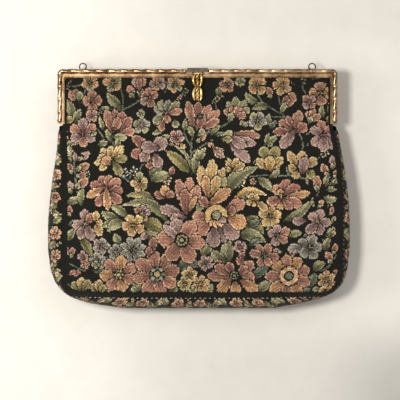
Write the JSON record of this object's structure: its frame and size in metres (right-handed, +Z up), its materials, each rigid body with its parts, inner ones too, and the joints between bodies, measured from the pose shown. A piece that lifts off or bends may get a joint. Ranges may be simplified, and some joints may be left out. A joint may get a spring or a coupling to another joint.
{
  "type": "clutch purse",
  "caption": "Frame clutch purse: a sewn tapestry sack on a hinged brass frame with a drop clasp, ring lugs and a chain handle.",
  "frame": {"origin": "middle of the flat base strip that the bag stands on", "axes": "+X along the frame's rail, -Y out of the front panel, +Z up towards the frame"},
  "size_m": [0.2408, 0.0404, 0.1965],
  "materials": {
    "frame_brass": "aged satin",
    "moulding_brass": "aged, polished on the crests",
    "drop_brass": "aged bright",
    "rivet_brass": "aged satin",
    "antique_brass": "antique dark",
    "spring_steel": "brushed",
    "plate_enamel": "dark gloss",
    "tapestry": "woven floral tapestry",
    "lining_cloth": "satin weave",
    "paper_cord": "twisted paper",
    "board": "pressed fibre"
  },
  "bodies": {
    "bag": {"rear_frame": "frame_brass", "rear_rope": "moulding_brass", "rear_bead": "moulding_brass", "rear_packing_cord": "paper_cord", "back_panel": "tapestry", "front_panel_lower": "tapestry", "gusset": "tapestry", "lining_back": "lining_cloth", "lining_front_lower": "lining_cloth", "lining_gusset": "lining_cloth", "slip_pocket": "lining_cloth", "base_board": "board", "catch_spring": "spring_steel", "catch_stud": "spring_steel", "left_rivet": "rivet_brass", "right_rivet": "rivet_brass", "left_lug": "antique_brass", "right_lug": "antique_brass"},
    "front_frame": {"front_frame": "frame_brass", "front_rope": "moulding_brass", "front_bead": "moulding_brass", "front_packing_cord": "paper_cord", "front_panel_upper": "tapestry", "lining_front_upper": "lining_cloth", "clasp_plate": "plate_enamel", "clasp_pin": "rivet_brass", "snap_tongue": "spring_steel"},
    "clasp_drop": {"clasp_drop": "drop_brass"},
    "left_ring": {"left_ring": "antique_brass"},
    "right_ring": {"right_ring": "antique_brass"},
    "chain_handle": {"chain_links": "antique_brass", "left_end_link": "antique_brass", "right_end_link": "antique_brass"}
  },
  "joints": [
    {"name": "frame_open", "type": "hinge", "parent": "bag", "child": "front_frame", "pos_m": [0, 0, 0.15], "axis": [1, 0, 0], "range_deg": [0, 75]},
    {"name": "clasp_lift", "type": "hinge", "parent": "front_frame", "child": "clasp_drop", "pos_m": [0, -0.0076, 0.1872], "axis": [-1, 0, 0], "range_deg": [0, 60]},
    {"name": "handle_swing", "type": "hinge", "parent": "bag", "child": "chain_handle", "pos_m": [0, 0.0083, 0.19092], "axis": [1, 0, 0], "range_deg": [0, 165]},
    {"name": "left_ring_swing", "type": "hinge", "parent": "bag", "child": "left_ring", "pos_m": [-0.092, 0.0083, 0.19055], "axis": [1, 0, 0], "range_deg": [0, 42]},
    {"name": "right_ring_swing", "type": "hinge", "parent": "bag", "child": "right_ring", "pos_m": [0.092, 0.0083, 0.19055], "axis": [1, 0, 0], "range_deg": [0, 42]}
  ],
  "couplings": [
    {"joint": "left_ring_swing", "follows": "handle_swing", "ratio": 0.25},
    {"joint": "right_ring_swing", "follows": "handle_swing", "ratio": 0.25}
  ]
}
